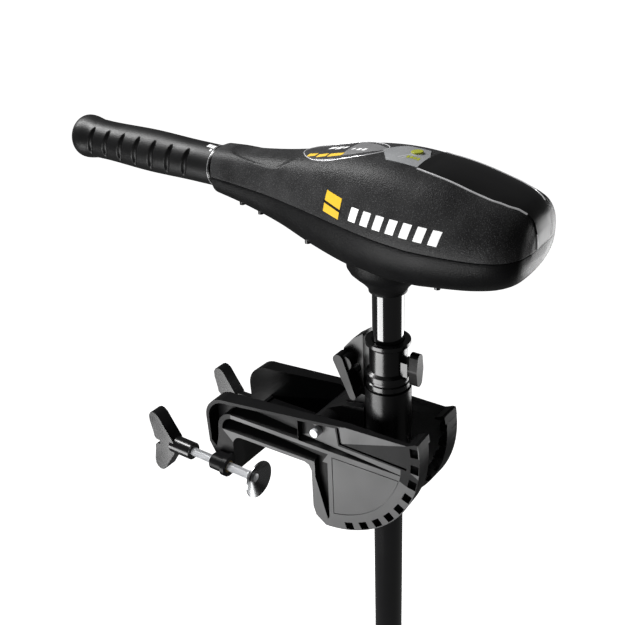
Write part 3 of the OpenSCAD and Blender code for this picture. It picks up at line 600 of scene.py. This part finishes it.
# ---------------------------------------------------------------- side mark
# Pad-printed marks on the near flank: a plain yellow lozenge with a dark slash across it, and a row of
# slanted white bars; the yellow and white carry a painted glow.
mesh = patch("flank_lozenge", on_side, lambda s: ((26.5 + 4 * s, 268 + 18 * s), (43.5 + 4 * s, 264.5 + 18 * s)),
             12, 10, 0.18, -0.1)
piece("flank_lozenge", mesh, [yellow], "motor_unit", [], 60)
mesh = patch("flank_slash", on_side, lambda s: ((27 + 19 * s, 278 - 5 * s), (27.4 + 19 * s, 275.6 - 5 * s)),
             10, 3, 0.3, -0.05)
piece("flank_slash", mesh, [panel_black], "motor_unit", [], 60)
for k in range(7):
    x = 54.5 + 12.4 * k
    low = 266.6 - 0.6 * k
    mesh = patch("flank_bar", on_side, lambda s: ((x + 4 * s, low + 12 * s),
                                                  (x + 7.4 + 4 * s, low - 0.4 + 12 * s)), 10, 5, 0.18, -0.1)
    piece("flank_bar_%d" % (k + 1), mesh, [white], "motor_unit", [], 60)

# ---------------------------------------------------------------- twist grip
# Rubber sleeve over a plastic core, waisted and flared to a round end, with seven tapered finger
# grooves on each side, and a ring with a silver line and three printed marks at the head end; line and marks
# carry a painted glow.
grip_black = skin("grip_rubber", (0.005, 0.005, 0.0052), (0.014, 0.014, 0.0145), 0.40, 1000, 0.00025, shine=0.24)
RISE = math.radians(2.2)


def on_handle(s, radius, angle):
    # Point at distance s out from the head and angle above the near side
    y = -radius * math.cos(angle)
    z = radius * math.sin(angle)
    return ((-112 - s * math.cos(RISE) + z * math.sin(RISE)) / 1000, y / 1000,
            (272.8 + s * math.sin(RISE) + z * math.cos(RISE)) / 1000)


def grip_radius(s):
    # Outside radius of the sleeve at distance s from the head, rounded off at the end
    points = [(8, 19.3), (30, 19.5), (95, 20.8), (155, 19.7), (168, 19.9), (186, 22.2), (188, 22.2)]
    if s > 186:
        t = min(1, (s - 186) / 13)
        return 22.2 * math.sqrt(max(0, 1 - t ** 2.6))
    for (a, p), (b, q) in zip(points, points[1:]):
        if s <= b:
            t = (s - a) / (b - a)
            return p + (q - p) * t * t * (3 - 2 * t)
    return points[-1][1]


def groove(s, angle):
    # Depth of the finger grooves: seven a side, widest at mid height and tapering to points
    lift_angle = math.degrees(math.asin(math.sin(angle)))
    t = (lift_angle - 8) / 45
    bow = max(0, 1 - t * t)
    deep = 0
    for k in range(7):
        middle = 38.5 + 21.5 * k + 2.5 * t * t - 6.4 * max(0, (t + 1) / 2) ** 1.6
        half = 0.7 + 2.9 * bow ** 0.8
        deep = max(deep, (1 - ((s - middle) / half) ** 2) if abs(s - middle) < half else 0)
    return 2.5 * min(1, bow * 2.2) * deep


verts, faces = [], []
stations = [8 + 0.75 * k for k in range(238)] + [186 + 13 * math.sin(math.pi / 2 * k / 14) for k in range(1, 14)]
around = 128
for s in [8] + stations:
    for j in range(around):
        a = 2 * math.pi * j / around
        r = grip_radius(s) - groove(s, a)
        verts.append(on_handle(s, r if len(verts) >= around else 15.7, a))
for i in range(len(stations)):
    for j in range(around):
        a, b = i * around + j, i * around + (j + 1) % around
        faces.append((a, b, b + around, a + around))
verts.append(on_handle(199, 0, 0))
tip, last = len(verts) - 1, len(stations) * around
faces += [(last + j, last + (j + 1) % around, tip) for j in range(around)]
mesh = closed("grip_rubber_sleeve", verts, faces)
piece("grip_rubber_sleeve", mesh, [grip_black], "grip", ["grip_sleeve"], 60)
rounded("grip_silver_ring", "grip_ring", 0.0004, gloss, "grip")
loop = [on_handle(7.4, 19.55, 2 * math.pi * k / 64) for k in range(65)]
piece("grip_ring_line", bead("grip_ring_line", loop, 0.25), [silver], "grip", [])


def on_sleeve(s, a, out):
    return on_handle(s, grip_radius(s) + out, math.radians(a))


for k, (s0, s1, a0, a1) in enumerate(((9, 13, 70, 84), (14, 18, 72, 86), (9.5, 11.5, 58, 66))):
    mesh = patch("grip_mark", on_sleeve, lambda t: ((s0, a0 + (a1 - a0) * t), (s1, a0 + (a1 - a0) * t)),
                 6, 3, 0.15, -0.1)
    piece("grip_mark_%d" % (k + 1), mesh, [white], "grip", [], 60)

# ---------------------------------------------------------------- submerged motor
# Powder-coated alloy housings clamped on a steel tube, and a three-bladed composite propeller
# held by a washer and nut.
paint = skin("powder_coat", (0.008, 0.008, 0.0085), (0.022, 0.022, 0.023), 0.3, 700, 0.00012, shine=0.4)
blade_black = skin("blade_composite", (0.008, 0.008, 0.0085), (0.020, 0.020, 0.021), 0.28, 600, 0.00005)
rounded("motor_nose", "front_housing", 0.0010, paint, "motor_unit")
rounded("motor_barrel", "motor_tube", 0.0003, paint, "motor_unit")
rounded("motor_tail", "rear_housing", 0.0010, paint, "motor_unit")
rounded("blades_and_hub", "propeller", 0.0006, blade_black, "rotor", crease=45)
rounded("blade_washer", "prop_washer", 0.0003, steel, "rotor")
rounded("blade_nut", "prop_nut", 0.0005, steel, "rotor")
rounded("nose_bush_moulded", "nose_bush", 0.0005, gloss, "motor_unit")
rounded("inner_handle_tube", "tiller_tube", 0.0003, coat_black, "tiller")

# ---------------------------------------------------------------- parts inside the head and motor
# Board, switch, magnets, armature, brushes, bearings and fixings keep their CAD shapes, and each takes
# the finish of its own record slot. The head screws and cable gland are gloss black.
plain = {
    "textured_black": spark, "gloss_black": gloss, "bracket_black": nylon, "steel": steel, "brass": brass,
    "bearing_plastic": acetal, "shaft_black": coat_black, "grip_rubber": grip_black, "pod_paint": paint,
    "prop_black": blade_black, "silver_trim": silver, "meter_grey": meter, "label_grey": label,
    "button_green": marks, "bright_chrome": pad_plate,
    "board_green": skin("solder_resist", (0.02, 0.12, 0.05), (0.06, 0.25, 0.12), 0.3, 500, 0.00003),
    "board_brown": skin("phenolic", (0.2, 0.11, 0.05), (0.35, 0.2, 0.1), 0.5, 500, 0.00003),
    "cast_alloy": skin("cast_alloy", (0.5, 0.5, 0.51), (0.65, 0.65, 0.66), 0.45, 500, 0.0001, metal=1),
    "lead_red": skin("wire_insulation", (0.3, 0.02, 0.015), (0.5, 0.05, 0.03), 0.4, 500, 0.00003),
    "copper": skin("enamelled_copper", (0.5, 0.2, 0.08), (0.75, 0.4, 0.2), 0.3, 500, 0.00003, metal=1),
    "ferrite": skin("ferrite", (0.03, 0.03, 0.032), (0.08, 0.08, 0.085), 0.6, 500, 0.0001),
    "lamination": skin("lamination", (0.25, 0.25, 0.26), (0.4, 0.4, 0.41), 0.4, 500, 0.00003, metal=1),
    "carbon": skin("brush_carbon", (0.02, 0.02, 0.02), (0.05, 0.05, 0.05), 0.5, 500, 0.00003, metal=0.3),
    "seal_rubber": skin("seal_rubber", (0.01, 0.01, 0.01), (0.03, 0.03, 0.03), 0.6, 500, 0.0001),
}
slots = {entry["node"]: entry["material_slot"] for entry in frame["record"]["subparts"]}
for node, made in nodes.items():
    key = "gloss_black" if node in ("head_screws", "cable_gland") else slots.get(node)
    if key in plain:
        made.data.materials.clear()
        made.data.materials.append(plain[key])
